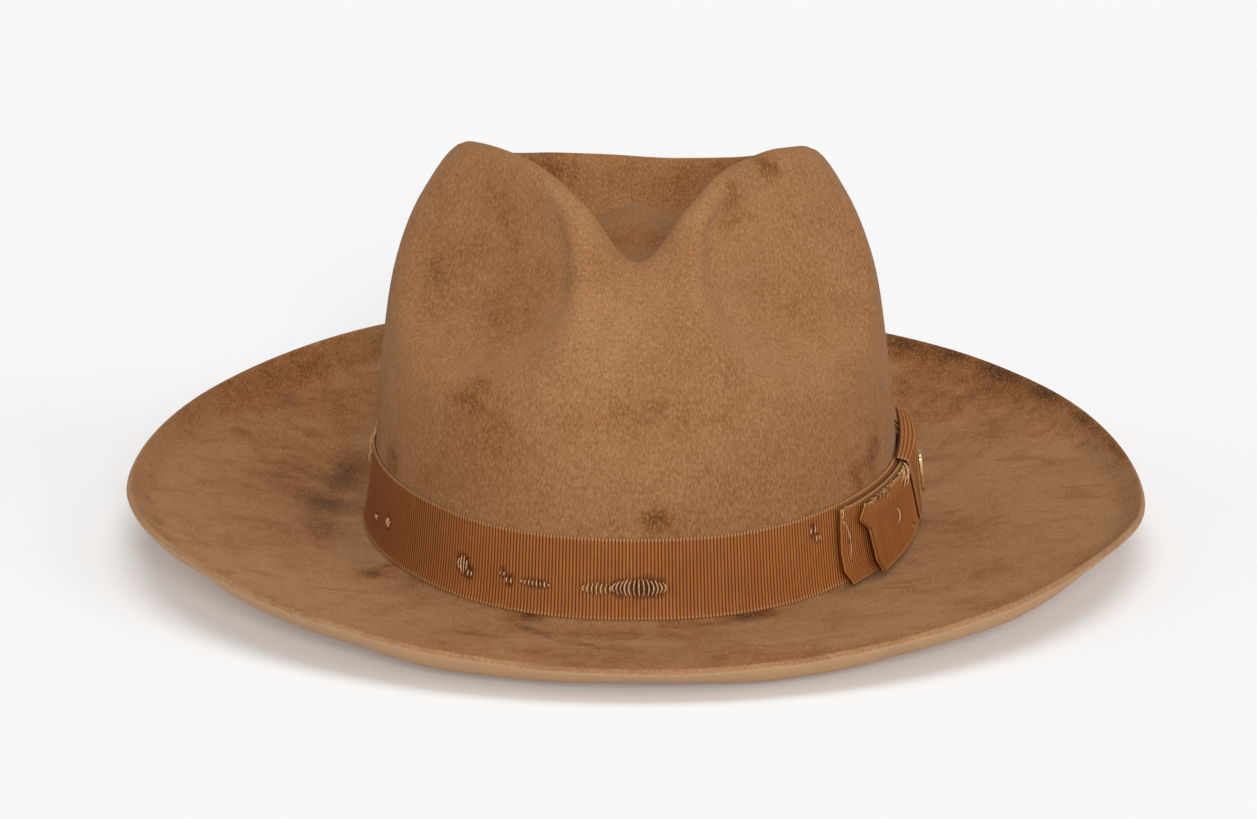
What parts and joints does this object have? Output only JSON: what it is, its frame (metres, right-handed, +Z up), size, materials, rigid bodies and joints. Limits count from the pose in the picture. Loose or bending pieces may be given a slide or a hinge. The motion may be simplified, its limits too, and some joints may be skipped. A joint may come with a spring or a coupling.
{
  "type": "wide-brim fedora hat",
  "caption": "Wide-brim felt fedora with a pinched teardrop crown, curled raw-edge brim, ribbed ribbon band, flat side bow and a small brass frame pin.",
  "frame": {"origin": "on the ground under the middle of the hat's box, with the hat resting on the foot of its crown", "axes": "+Z up; -Y is the hat's front; +X is the wearer's left, the side of the bow"},
  "size_m": [0.318, 0.3462, 0.1308],
  "materials": {
    "felt": "worn tan fur felt, matt, with darker stains",
    "ribbon": "ribbed russet brown ribbon, slight sheen, worn and frayed",
    "brass": "worn polished brass"
  },
  "bodies": {
    "root": {"felt_body": "felt", "ribbon_band": "ribbon", "bow_loop_front_lower": "ribbon", "bow_loop_front_upper": "ribbon", "bow_loop_back_lower": "ribbon", "bow_loop_back_upper": "ribbon", "bow_knot": "ribbon", "brass_pin": "brass"}
  },
  "joints": []
}
